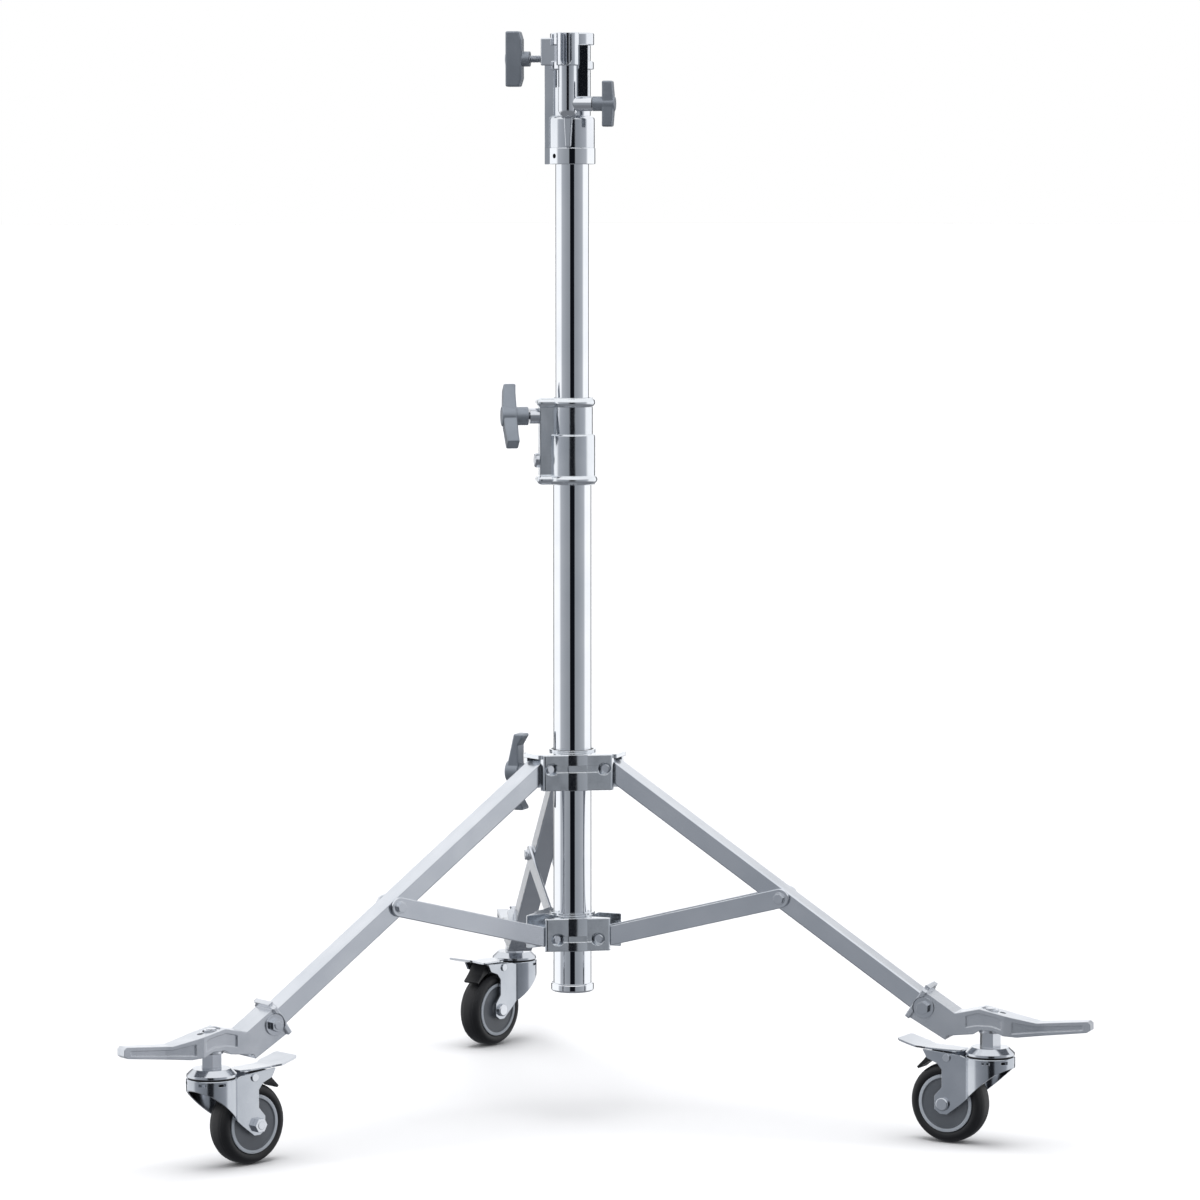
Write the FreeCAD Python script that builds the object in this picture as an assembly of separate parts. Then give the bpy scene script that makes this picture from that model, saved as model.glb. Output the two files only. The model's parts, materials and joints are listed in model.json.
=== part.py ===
import FreeCAD, Part
import math
import os

# Low-base wheeled lighting stand: a telescoping riser with a combined spigot head,
# carried by three braced folding legs on braked swivel castors.
# Millimetres. Origin: the mast axis at floor level. +Z up, back leg along +Y.

V = FreeCAD.Vector
X = V(1, 0, 0)
Y = V(0, 1, 0)
Z = V(0, 0, 1)
ORIGIN = V(0, 0, 0)

# ---- driving dimensions -------------------------------------------------------------
legs = {"back": 90.0, "left": 210.0, "right": 330.0}        # direction of each leg, degrees
castor_turns = {"back": -47.0, "left": 5.0, "right": -9.0}  # how far each castor is turned

fixed_gap = 0.1          # radial clearance of a bolt in a drilled hole
running_gap = 0.05       # radial clearance of a shaft in a bush
side_gap = 0.4           # clearance beside a swinging part

column_r = 20.0
column_wall = 1.5
column_length = 573.5
riser_wall = 1.5
riser_play = 1.0         # between the column's bore and the riser, filled by bushes
riser_length = 864.3
riser_floor_gap = 17.0   # from the column's foot to the riser's foot

leg_length = 453.0       # hinge to the tube's cut end
leg_drop = 33.6          # degrees below level
leg_width = 22.0
leg_depth = 20.0
leg_wall = 1.6
leg_hinge_r = 43.5       # hinge axis to the mast axis
leg_brace_at = 228.6     # hinge to the brace's pivot, along the leg
leg_clamp_at = 415.4     # hinge to the clamp bolt, along the leg
brace_length = 203.3     # between its two pivots
brace_hinge_r = 37.3
bar_height = 20.0
bar_thickness = 3.0
bar_gap = 0.8            # between a bar and the leg's side
pivot_r = 4.0            # shank of every leg and brace pivot bolt

wheel_r = 41.0
wheel_width = 26.0
hub_r = 30.0             # where the tyre meets the wheel centre
trail = 44.5             # axle to swivel axis
axle_r = 4.0
fork_gap = 2.2           # wheel side to fork cheek
cheek = 2.5              # thickness of the pressed fork
crown_gap = 10.0         # tyre to the top of the fork
crown_r = 25.5
race_r = 25.0
race_gap = 1.6           # between the fork and the fixed race
race_height = 8.0
spacer_height = 14.8
stem_r = 5.0

toe_reach = 106.4        # swivel axis to the toe's tip
toe_half = 13.6
washer_r = 10.8          # under the clamp bolt's head and nut
toe_tip_half = 6.0
toe_rise = 25.2          # height over the castor's stem
leg_end_rise = 2.4       # the leg's cut end stands this far above the toe's underside
castor_out = 35.2        # the leg's cut end to the castor's swivel axis

# ---- dependent sizes ----------------------------------------------------------------
crown_z = 2 * wheel_r + crown_gap
race_low = crown_z + race_gap
race_top = race_low + race_height
toe_under = race_top + spacer_height
toe_top = toe_under + toe_rise
drop = math.radians(leg_drop)
leg_end_z = toe_under + leg_end_rise
leg_end_r = leg_hinge_r + leg_length * math.cos(drop)
leg_hinge_z = leg_end_z + leg_length * math.sin(drop)
castor_r = leg_end_r + castor_out
brace_end_r = leg_hinge_r + leg_brace_at * math.cos(drop)
brace_end_z = leg_hinge_z - leg_brace_at * math.sin(drop)
brace_rise = math.sqrt(brace_length ** 2 - (brace_end_r - brace_hinge_r) ** 2)
brace_hinge_z = brace_end_z - brace_rise
brace_tilt = math.degrees(math.asin(brace_rise / brace_length))

column_foot = brace_hinge_z - 57.5
column_top = column_foot + column_length
column_bore = column_r - column_wall
riser_r = column_bore - riser_play
riser_foot = column_foot + riser_floor_gap
riser_top = riser_foot + riser_length
bar_in = leg_width / 2 + bar_gap
bar_out = bar_in + bar_thickness
fork_in = wheel_width / 2 + fork_gap
fork_out = fork_in + cheek


# ---- helpers ------------------------------------------------------------------------
def box(x0, x1, y0, y1, z0, z1):
    return Part.makeBox(x1 - x0, y1 - y0, z1 - z0, V(x0, y0, z0))


def rod(radius, start, end):
    return Part.makeCylinder(radius, (end - start).Length, start, end - start)


def pipe(outer, inner, start, end):
    return rod(outer, start, end).cut(rod(inner, start, end))


def hexagon(flats, start, end):
    along = end - start
    side = along.cross(Z)
    if side.Length < 1e-6:
        side = V(X)
    side.normalize()
    up = along.cross(side)
    up.normalize()
    corner = flats / math.sqrt(3.0)
    points = []
    for i in range(7):
        turn = math.radians(60.0 * i)
        points.append(start + side * (corner * math.cos(turn)) + up * (corner * math.sin(turn)))
    return Part.Face(Part.makePolygon(points)).extrude(along)


def prism_xz(points, half):
    """A plate whose outline is given as (x, z) points, half thick each side of y = 0."""
    loop = [V(x, -half, z) for x, z in points]
    return Part.Face(Part.makePolygon(loop + loop[:1])).extrude(V(0, 2 * half, 0))


def prism_xy(points, z0, z1):
    loop = [V(x, y, z0) for x, y in points]
    return Part.Face(Part.makePolygon(loop + loop[:1])).extrude(V(0, 0, z1 - z0))


def lathe(points):
    """Turn an outline of (radius, z) points about the Z axis."""
    loop = [V(r, 0, z) for r, z in points]
    return Part.Face(Part.makePolygon(loop + loop[:1])).revolve(ORIGIN, Z, 360)


def soften(shape, radius, keep=None):
    """Round the edges that keep(edge) picks, or all of them."""
    edges = [e for e in shape.Edges if keep is None or keep(e)]
    return shape.makeFillet(radius, edges)


def upright(edge):
    if len(edge.Vertexes) < 2:
        return False
    line = edge.Vertexes[1].Point - edge.Vertexes[0].Point
    return abs(line.z) > 0.99 * line.Length


def level(edge):
    return all(abs(v.Z - edge.Vertexes[0].Z) < 1e-6 for v in edge.Vertexes)


def turned(shape, degrees, about=Z, centre=ORIGIN):
    copy = shape.copy()
    copy.rotate(centre, about, degrees)
    return copy


def moved(shape, x, y, z):
    copy = shape.copy()
    copy.translate(V(x, y, z))
    return copy


def fuse(shapes):
    whole = shapes[0]
    for shape in shapes[1:]:
        whole = whole.fuse(shape)
    return whole.removeSplitter()


def save(name, *solids):
    shape = solids[0] if len(solids) == 1 else Part.makeCompound(list(solids))
    shape.exportStep("parts/" + name + ".step")


def bolt(radius, head_r, head_h, start, end, nut_flats=0.0, nut_h=0.0):
    """A round-headed bolt: head before start, shank to end, and a nut past the end."""
    along = end - start
    along.normalize()
    head = rod(head_r, start - along * head_h, start)
    rim = [e for e in head.Edges if e.Closed and e.CenterOfMass.distanceToPoint(start) > head_h / 2]
    head = head.makeFillet(head_h * 0.45, rim[:1])
    solid = head.fuse(rod(radius, start, end))
    if nut_flats:
        solid = solid.fuse(hexagon(nut_flats, end, end + along * nut_h))
        solid = solid.fuse(rod(radius, end + along * nut_h, end + along * (nut_h + 1.5)))
    return solid.removeSplitter()


# ---- lock knobs ---------------------------------------------------------------------
stud_r = 4.0


def tee_grip(span, thick, wide, sweep, grip_hub_r, grip_hub, waist_r):
    """A cast T handle on a hub; the screw runs along X from the hub's face at x = 0."""
    face = grip_hub + thick
    side = [(face, 0), (face - sweep, span / 2), (face - sweep - 0.85 * thick, span / 2)]
    side += [(grip_hub, 0.35 * span), (grip_hub, -0.35 * span)]
    side += [(face - sweep - 0.85 * thick, -span / 2), (face - sweep, -span / 2)]
    wing = soften(prism_xz(side, wide / 2), 1.8)
    waist = soften(rod(waist_r, V(grip_hub, 0, 0), V(face + 0.6, 0, 0)), 1.5)
    hub = rod(grip_hub_r, V(0, 0, 0), V(grip_hub + 4, 0, 0))
    stud_hole = rod(stud_r, V(-1, 0, 0), V(grip_hub + 2, 0, 0))
    return fuse([wing, waist, hub]).cut(stud_hole)


def knob(name, grip, grip_hub, grip_at, tip_at, roll, azimuth, y, z, turn=0.0):
    """Place a grip and its stud on a level line; grip_at and tip_at are distances along it."""
    grip = moved(turned(grip, roll, X), grip_at, 0, 0)
    stud = rod(stud_r, V(tip_at, 0, 0), V(grip_at + grip_hub + 2, 0, 0))
    for label, shape in (("grip", grip), ("stud", stud)):
        save(name + "_" + label, turned(moved(turned(shape, azimuth), 0, y, z), turn))


# ---- base column and its foot -------------------------------------------------------
def base_column():
    return pipe(column_r, column_bore, V(0, 0, column_foot), V(0, 0, column_top))


def column_foot_cap():
    lip = 2.5
    low = column_foot - 2.0
    cap = rod(column_r + lip, V(0, 0, low), V(0, 0, low + 9.0))
    cap = soften(cap, 2.2)
    cap = cap.cut(rod(column_r, V(0, 0, column_foot), V(0, 0, low + 10.0)))
    return cap.cut(rod(7.0, V(0, 0, low - 1), V(0, 0, low + 10.0)))


# ---- the two leg collars ------------------------------------------------------------
def collar_blank(reach, flat, bay_half, bay_from, low, high, bore):
    """Three walls between three leg bays: reach is along a leg, flat is opposite one."""
    corners = []
    for azimuth in (90.0, 210.0, 330.0):
        side = (flat - reach * 0.5) / math.cos(math.radians(30))
        for w in (-side, side):
            turn = math.radians(azimuth)
            corners.append((reach * math.cos(turn) - w * math.sin(turn),
                            reach * math.sin(turn) + w * math.cos(turn)))
    blank = soften(prism_xy(corners, low, high), 3.0, upright)
    blank = soften(blank, 1.2, level)
    for azimuth in legs.values():
        bay = box(bay_from, 2 * reach, -bay_half, bay_half, low - 1, high + 1)
        blank = blank.cut(turned(bay, azimuth))
    return blank.cut(rod(bore, V(0, 0, low - 1), V(0, 0, high + 1)))


def pivot_holes(collar, hinge_r, z, seat):
    """Drill each bay's pivot and sink its two ends for the bolt's head and nut."""
    for azimuth in legs.values():
        hole = rod(pivot_r, V(hinge_r, -2 * seat, z), V(hinge_r, 2 * seat, z))
        sinks = [rod(6.4, V(hinge_r, s * seat, z), V(hinge_r, s * 3 * seat, z)) for s in (-1, 1)]
        for cut in [hole] + sinks:
            collar = collar.cut(turned(cut, azimuth))
    return collar


def pivot_bolts(hinge_r, z, seat):
    bolts = []
    for azimuth in legs.values():
        one = bolt(pivot_r, 5.2, 3.2, V(hinge_r, -seat, z), V(hinge_r, seat, z), 9.0, 3.2)
        bolts.append(turned(one, azimuth))
    return bolts


def groove(flat, z, length, height, depth):
    """A level groove in each outer wall, between two pivots."""
    cuts = []
    for azimuth in legs.values():
        slot = box(-flat - 1, -flat + depth, -length / 2, length / 2, z - height / 2, z + height / 2)
        cuts.append(turned(slot, azimuth))
    return cuts


upper_reach = 51.0
upper_flat = 40.0
swell_rise = 1.2         # of the curved middle of a flat
swell_half = 9.9
upper_seat = 14.6
upper_low = leg_hinge_z - 22.5
upper_high = leg_hinge_z + 15.0
roof_under = leg_hinge_z + leg_depth / 2 + 0.8
roof_reach = 55.0
bush_wall = 2.0
upper_bush_r = column_r + running_gap + bush_wall
lock_azimuth = 150.0
lock_z = leg_hinge_z - 9.5
upper_lock_from = upper_flat + 6.0


def swell(flat, z, slot, low, high):
    """The curve of the bore showing through the middle of a collar's flat, open at its slot."""
    radius = flat + swell_rise
    curve = rod(radius, V(0, 0, low), V(0, 0, high))
    curve = curve.common(box(-radius - 1, -flat + 2, -swell_half, swell_half, low, high))
    return curve.cut(box(-radius - 1, -flat, -swell_half, swell_half, z - slot / 2, z + slot / 2))


def upper_collar():
    half = leg_width / 2 + side_gap
    collar = collar_blank(upper_reach, upper_flat, half, upper_bush_r + 4.0, upper_low, upper_high,
                          upper_bush_r)
    for azimuth in legs.values():
        roof = soften(box(upper_bush_r + 2.0, roof_reach, -half - 3.2, half + 3.2, roof_under, upper_high),
                      3.0, upright)
        collar = collar.fuse(turned(roof, azimuth))
    collar = pivot_holes(collar, leg_hinge_r, leg_hinge_z, upper_seat)
    for cut in groove(upper_flat, leg_hinge_z, 46.0, 7.0, 3.0):
        collar = collar.cut(cut)
    for name in ("back", "left"):
        collar = collar.fuse(turned(swell(upper_flat, leg_hinge_z, 7.0, upper_low, upper_high), legs[name]))
    boss = rod(9.0, V(upper_bush_r + 3, 0, lock_z), V(upper_lock_from, 0, lock_z))
    collar = collar.fuse(turned(boss, lock_azimuth))
    collar = collar.fuse(pipe(upper_bush_r + 2.2, upper_bush_r, V(0, 0, upper_high - 1), V(0, 0, upper_high + 2)))
    thread = rod(6.0, V(0, 0, lock_z), V(2 * upper_flat, 0, lock_z))
    bore = rod(upper_bush_r, V(0, 0, upper_low - 1), V(0, 0, upper_high + 3))
    return collar.cut(turned(thread, lock_azimuth)).cut(bore).removeSplitter()


def upper_collar_bush():
    bush = pipe(upper_bush_r, column_r + running_gap, V(0, 0, upper_low), V(0, 0, upper_high + 2))
    return bush.cut(turned(rod(5.0 + fixed_gap, V(0, 0, lock_z), V(30, 0, lock_z)), lock_azimuth))


def lock_insert(start, end, flange_r, flange_to):
    """A threaded sleeve pressed into a boss, along X."""
    sleeve = rod(6.0, V(start, 0, 0), V(end, 0, 0))
    if flange_to > end:
        sleeve = sleeve.fuse(rod(flange_r, V(end, 0, 0), V(flange_to, 0, 0)))
        end = flange_to
    return sleeve.cut(rod(stud_r + running_gap, V(start - 1, 0, 0), V(end + 1, 0, 0)))


lower_reach = 48.5
lower_flat = 39.0
lower_seat = 17.6
lower_low = brace_hinge_z - 12.5
lower_high = brace_hinge_z + 22.0
lower_bay = bar_out + side_gap
lower_hub = column_r + 3.6
screwed = ("left", "right")      # the flats opposite these legs carry the set screws


def lower_collar():
    """Three brace clevises about the column's foot, drawn in flats with a slight swell."""
    collar = collar_blank(lower_reach, lower_flat, lower_bay, lower_hub, lower_low, lower_high, column_r)
    collar = collar.fuse(pipe(lower_hub, column_r, V(0, 0, lower_low), V(0, 0, lower_high + 2.5)))
    collar = pivot_holes(collar, brace_hinge_r, brace_hinge_z, lower_seat)
    for cut in groove(lower_flat, brace_hinge_z, 38.0, 6.0, 2.4):
        collar = collar.cut(cut)
    for azimuth in legs.values():
        collar = collar.fuse(turned(swell(lower_flat, brace_hinge_z, 6.0, lower_low, lower_high), azimuth))
    for name in screwed:
        hole = rod(3.0, V(-column_r, 0, lower_high - 8), V(-60, 0, lower_high - 8))
        collar = collar.cut(turned(hole, legs[name]))
    return collar.removeSplitter()


def lower_collar_screws():
    screws = []
    for name in screwed:
        screw = rod(3.0, V(-column_r, 0, lower_high - 8), V(-lower_flat + 2.0, 0, lower_high - 8))
        socket = hexagon(3.0, V(-lower_flat + 5.0, 0, lower_high - 8), V(-lower_flat + 1.0, 0, lower_high - 8))
        screws.append(turned(screw.cut(socket), legs[name]))
    return screws


# ---- middle collar, at the top of the base column -----------------------------------
mid_low = column_top - 44.0
mid_step = column_top + 8.0
mid_high = column_top + 46.0
mid_bead = 10.0
mid_low_r = 24.0
mid_high_r = 21.5
mid_bead_r = 26.3
mid_bush_r = 19.2
boss_reach = 35.0
boss_half = 6.5
mid_lock_z = column_top + 27.0
mid_screw_z = mid_low + 25.0


def bead(radius, inner, z0, height):
    """A turned ring with a full round outer edge."""
    half = height / 2
    wall = radius - half
    ring = pipe(wall, inner, V(0, 0, z0), V(0, 0, z0 + height))
    return ring.fuse(Part.makeTorus(wall, half, V(0, 0, z0 + half), Z))


def boss_bead(radius, z0, height):
    """The same round edge carried out around the flat boss."""
    half = height / 2
    run = rod(half, V(-boss_reach + 2, -boss_half - radius, z0 + half), V(-10, -boss_half - radius, z0 + half))
    other = moved(run, 0, 2 * (boss_half + radius), 0)
    nose = rod(half, V(-boss_reach + 2, -boss_half - radius, z0 + half), V(-boss_reach + 2, boss_half + radius, z0 + half))
    ends = [Part.makeSphere(half, V(-boss_reach + 2, s * (boss_half + radius), z0 + half)) for s in (-1, 1)]
    core = box(-boss_reach + 2, -10, -boss_half - radius, boss_half + radius, z0, z0 + height)
    return [run, other, nose, core] + ends


def mid_collar():
    sleeve = lathe([(column_r - 3, mid_low), (mid_low_r, mid_low), (mid_low_r, mid_step - 1.2),
                    (mid_low_r - 1.2, mid_step), (mid_high_r, mid_step), (mid_high_r, mid_high),
                    (column_r - 3, mid_high)])
    boss = soften(box(-boss_reach, -10, -boss_half, boss_half, mid_low + 1, mid_high - 1), 1.0,
                  lambda e: upright(e) and e.Vertexes[0].X < -boss_reach + 1)
    shapes = [sleeve, boss, bead(mid_bead_r, column_r - 3, mid_low, mid_bead),
              bead(mid_high_r + 2.6, column_r - 3, mid_high - mid_bead, mid_bead)]
    shapes += boss_bead(0.6, mid_low, mid_bead)
    shapes += boss_bead(0.6, mid_high - mid_bead, mid_bead)
    collar = fuse(shapes)
    collar = collar.cut(rod(column_r, V(0, 0, mid_low - 1), V(0, 0, column_top)))
    collar = collar.cut(rod(riser_r + 0.4, V(0, 0, column_top - 1), V(0, 0, mid_high + 1)))
    collar = collar.cut(rod(mid_bush_r, V(0, 0, column_top + 2), V(0, 0, mid_high + 1)))
    collar = collar.cut(rod(6.0, V(-boss_reach - 9, 0, mid_lock_z), V(-10, 0, mid_lock_z)))
    return collar.cut(rod(3.0, V(-boss_reach - 9, 0, mid_screw_z), V(-column_r, 0, mid_screw_z)))


def mid_collar_bush():
    bush = pipe(mid_bush_r, riser_r + running_gap, V(0, 0, column_top + 2), V(0, 0, mid_high - 1))
    return bush.cut(rod(5.0 + fixed_gap, V(-30, 0, mid_lock_z), V(0, 0, mid_lock_z)))


# ---- riser and head -----------------------------------------------------------------
guide_low = riser_foot + 0.3
guide_high = guide_low + 30.0
ferrule_low = riser_top - 21.0
ferrule_high = ferrule_low + 17.0
head_turn = -17.8        # how far the riser is turned in the column
sleeve_r = 23.6
sleeve_high = ferrule_high + 32.8
barrel_r = 19.4
head_high = sleeve_high + 85.1
junior_bore = 14.35
baby_bore = 8.0
baby_y = -27.0
baby_wall_r = 9.9
baby_low = sleeve_high - 3.0
pad_front = -21.0        # the flat beside the small socket
pad_turn = 6.0
junior_lock_z = head_high - 26.5
baby_lock_z = baby_low + 15.0


def riser_foot_plug():
    plug = rod(riser_r - riser_wall, V(0, 0, riser_foot), V(0, 0, riser_foot + 25))
    flange = rod(column_bore - 0.3, V(0, 0, riser_foot - 4), V(0, 0, riser_foot))
    return plug.fuse(flange).cut(rod(6.0, V(0, 0, riser_foot - 5), V(0, 0, riser_foot + 30))).removeSplitter()


def riser_stop_ring():
    return pipe(column_bore - 0.2, riser_r, V(0, 0, guide_high + 0.3), V(0, 0, guide_high + 5))


def ring_at(radius, z0, z1, edge):
    return soften(rod(radius, V(0, 0, z0), V(0, 0, z1)), edge)


def head_casting():
    solid = [soften(rod(sleeve_r, V(0, 0, ferrule_high), V(0, 0, sleeve_high)), 4.0,
                    lambda e: level(e) and e.CenterOfMass.z > sleeve_high - 1)]
    solid.append(rod(barrel_r, V(0, 0, ferrule_high), V(0, 0, head_high)))
    solid.append(ring_at(23.0, head_high - 13.0, head_high, 1.6))
    solid.append(ring_at(22.6, head_high - 38.0, head_high - 29.0, 1.6))
    # flat rib down the lock side, with a block for the lock screw
    solid.append(box(-27.8, -5, -5.5, 5.5, ferrule_high, head_high - 33.0))
    solid.append(soften(box(-31.4, -5, -9.5, 9.5, head_high - 33.5, head_high - 5.0), 1.5))
    # small socket in front, its collar, foot and web
    tube = rod(baby_wall_r, V(0, baby_y, baby_low + baby_wall_r), V(0, baby_y, head_high))
    foot = Part.makeSphere(baby_wall_r, V(0, baby_y, baby_low + baby_wall_r))
    ring = soften(rod(11.6, V(0, baby_y, head_high - 34.0), V(0, baby_y, head_high)), 1.2)
    web = box(-7.0, 7.0, baby_y, 0, sleeve_high - 2, head_high)
    rib = soften(prism_xz([(-4.5, baby_low + 6), (4.5, baby_low + 6), (2.6, ferrule_high + 1),
                           (-2.6, ferrule_high + 1)], 4.5), 1.0, None)
    boss = rod(7.6, V(0, baby_y, baby_lock_z), V(25.5, baby_y, baby_lock_z))
    pad = turned(box(0, 17.5, pad_front, 0, baby_lock_z - 6, head_high - 12.5), pad_turn)
    solid += [tube, foot, ring, web, moved(rib, 0, -22.4, 0), boss, pad]
    head = fuse(solid)
    head = head.cut(rod(junior_bore, V(0, 0, sleeve_high + 7), V(0, 0, head_high + 1)))
    head = head.cut(rod(riser_r, V(0, 0, ferrule_high - 1), V(0, 0, riser_top)))
    head = head.cut(rod(baby_bore, V(0, baby_y, baby_low + baby_wall_r), V(0, baby_y, head_high + 1)))
    # keyed notch in the small socket's front and the slot behind it
    notch_z = head_high - 28.0
    head = head.cut(rod(5.6, V(0, baby_y - 20, notch_z), V(0, baby_y, notch_z)))
    head = head.cut(box(-5.6, 5.6, baby_y - 20, baby_y, notch_z, head_high + 1))
    thread = stud_r + running_gap
    head = head.cut(rod(thread, V(-40, 0, junior_lock_z), V(0, 0, junior_lock_z)))
    head = head.cut(rod(thread, V(0, baby_y, baby_lock_z), V(40, baby_y, baby_lock_z)))
    lead = Part.makeCone(junior_bore, junior_bore + 2.0, 2.0, V(0, 0, head_high - 2.0), Z)
    return head.cut(lead)


def riser_ferrule():
    ring = soften(rod(24.3, V(0, 0, ferrule_low), V(0, 0, ferrule_high)), 0.8)
    ring = ring.fuse(box(-27.8, -5, -5.5, 5.5, ferrule_low, ferrule_high))
    ring = ring.cut(rod(riser_r, V(0, 0, ferrule_low - 1), V(0, 0, ferrule_high + 1)))
    screw_z = (ferrule_low + ferrule_high) / 2
    return ring.cut(turned(rod(2.5, V(riser_r, 0, screw_z), V(40, 0, screw_z)), -130)).removeSplitter()


def ferrule_screw():
    screw_z = (ferrule_low + ferrule_high) / 2
    screw = rod(2.5, V(riser_r, 0, screw_z), V(23.2, 0, screw_z))
    return turned(screw.cut(hexagon(2.5, V(21.0, 0, screw_z), V(24, 0, screw_z))), -130)


# ---- legs ---------------------------------------------------------------------------
def on_leg(shape):
    """Carry a shape built along +X from the hinge onto the sloping leg."""
    return moved(turned(shape, leg_drop, Y), leg_hinge_r, 0, leg_hinge_z)


def leg_tube():
    half_w = leg_width / 2
    half_d = leg_depth / 2
    tube = soften(box(0, leg_length, -half_w, half_w, -half_d, half_d), 1.6,
                  lambda e: abs(e.Vertexes[1].X - e.Vertexes[0].X) > 1 and len(e.Vertexes) == 2)
    tube = tube.fuse(rod(half_d, V(0, -half_w, 0), V(0, half_w, 0)))
    wall = leg_wall
    tube = tube.cut(box(half_d + 4, leg_length + 1, wall - half_w, half_w - wall, wall - half_d, half_d - wall))
    for at, radius in ((0, 6.0), (leg_brace_at, 6.0), (leg_clamp_at, pivot_r + fixed_gap)):
        tube = tube.cut(rod(radius, V(at, -half_w - 1, 0), V(at, half_w + 1, 0)))
    return on_leg(tube.removeSplitter())


def leg_bushes():
    half_w = leg_width / 2
    hinge = pipe(6.0, pivot_r + running_gap, V(0, -half_w, 0), V(0, half_w, 0))
    middle = pipe(6.0, pivot_r + running_gap, V(leg_brace_at, -half_w, 0), V(leg_brace_at, half_w, 0))
    return [on_leg(hinge), on_leg(middle)]


def leg_socket():
    """The toe casting's sleeve over the leg's end, drawn along the leg as (distance, height)."""
    low = leg_depth / 2 + 7.3
    high = leg_depth / 2 + 4.2
    end = leg_length - 1.0
    start = leg_clamp_at - 6.4
    sleeve = prism_xz([(start, -low), (end, 3.5 - low), (end - 4, high + 0.8), (start, high)], toe_half)
    ears = prism_xz([(start - 5, -low - 1.2), (start + 0.6, -low - 1.2), (start + 0.6, high + 6.5),
                     (start - 5, high + 6.5)], toe_half + 3.0)
    ears = soften(ears, 1.2)
    for s in (-1, 1):
        slope = prism_xz([(start - 9, high - 3), (start + 4, high - 3), (start + 4, high + 16),
                          (start - 9, high + 16)], 12.0)
        slope = moved(turned(slope, -s * 35.0, X, V(0, 0, high - 3)), 0, s * (toe_half + 8.0), 0)
        ears = ears.cut(slope)
        ears = ears.cut(rod(washer_r + 0.4, V(leg_clamp_at, s * toe_half, 0), V(leg_clamp_at, s * 30, 0)))
    return fuse([sleeve, ears])


def leg_clamp_bolt():
    side = toe_half
    washers = [pipe(washer_r, pivot_r, V(leg_clamp_at, s * side, 0), V(leg_clamp_at, s * (side + 1.6), 0))
               for s in (-1, 1)]
    end = side + 1.6
    one = rod(pivot_r, V(leg_clamp_at, -end, 0), V(leg_clamp_at, end + 6, 0))
    one = one.fuse(hexagon(12.0, V(leg_clamp_at, -end, 0), V(leg_clamp_at, -end - 5, 0)))
    one = one.fuse(hexagon(12.0, V(leg_clamp_at, end, 0), V(leg_clamp_at, end + 5, 0)))
    return [on_leg(one.removeSplitter())] + [on_leg(w) for w in washers]


def toe():
    """Cast toe: a boss over the castor, a long flat foot pad and a sleeve over the leg's end."""
    at = castor_r
    tip = at + toe_reach
    under = toe_under
    arch = under + 3.5
    socket_in = leg_end_r - 10.0
    side = [(socket_in, leg_end_z - 7.0), (at - 14, under - 1), (at - 7, arch), (at + 7, arch),
            (at + 17, under - 1), (at + 31, under - 2), (tip - 4, under + 6.5), (tip, under + 9),
            (tip, under + 15.5), (tip - 3, under + 18), (at + 51, under + 13.5), (at + 26, under + 18),
            (at - 8, toe_top), (at - 32, under + 19.5), (socket_in, leg_end_z + 18)]
    body = prism_xz(side, toe_half + 2)
    plan = [(socket_in - 5, -toe_half), (at + 18, -toe_half), (at + 58, -toe_tip_half - 2.0),
            (tip, -toe_tip_half), (tip, toe_tip_half), (at + 58, toe_tip_half + 2.0), (at + 18, toe_half),
            (socket_in - 5, toe_half)]
    body = body.common(prism_xy(plan, 0, 2 * toe_top))
    body = body.fuse(rod(11.8, V(at, 0, under), V(at, 0, toe_top - 4)))
    for s in (-1, 1):
        pad_pocket = prism_xz([(at + 26, under + 1.5), (tip - 8, under + 9), (tip - 8, under + 13.5),
                               (at + 52, under + 9.8), (at + 26, under + 13)], 20)
        pad_plan = [(at + 20, s * (toe_half - 2.8)), (at + 58, s * (toe_tip_half - 0.9)),
                    (tip + 1, s * (toe_tip_half - 2.2)), (tip + 1, s * 30), (at + 20, s * 30)]
        body = body.cut(pad_pocket.common(prism_xy(pad_plan, 0, 2 * toe_top)))
        boss_pocket = prism_xz([(at - 22, under + 5.5), (at - 10, under + 8), (at + 5, under + 8),
                                (at + 15, under + 5), (at + 15, under + 14), (at + 11, under + 17),
                                (at - 9, toe_top - 4.5), (at - 22, under + 17)], 20)
        low_w = min(s * 30, s * (toe_half - 1.8))
        high_w = max(s * 30, s * (toe_half - 1.8))
        body = body.cut(boss_pocket.common(box(0, 2 * at, low_w, high_w, 0, 2 * toe_top)))
    body = body.fuse(on_leg(leg_socket()))
    half = leg_width / 2
    body = body.cut(on_leg(box(leg_brace_at, leg_length, -half, half, -leg_depth / 2, leg_depth / 2)))
    body = body.cut(on_leg(rod(pivot_r + fixed_gap, V(leg_clamp_at, -30, 0), V(leg_clamp_at, 30, 0))))
    # recess in the top for the stem's nut, and the stem's own hole
    body = body.cut(rod(8.8, V(at, 0, toe_top - 7), V(at, 0, toe_top + 5)))
    body = body.cut(rod(3.4, V(at + 13, 0, under + 12), V(at + 13, 0, toe_top + 5)))
    body = body.cut(rod(stem_r, V(at, 0, under - 5), V(at, 0, toe_top + 5)))
    return body.removeSplitter()


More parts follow.
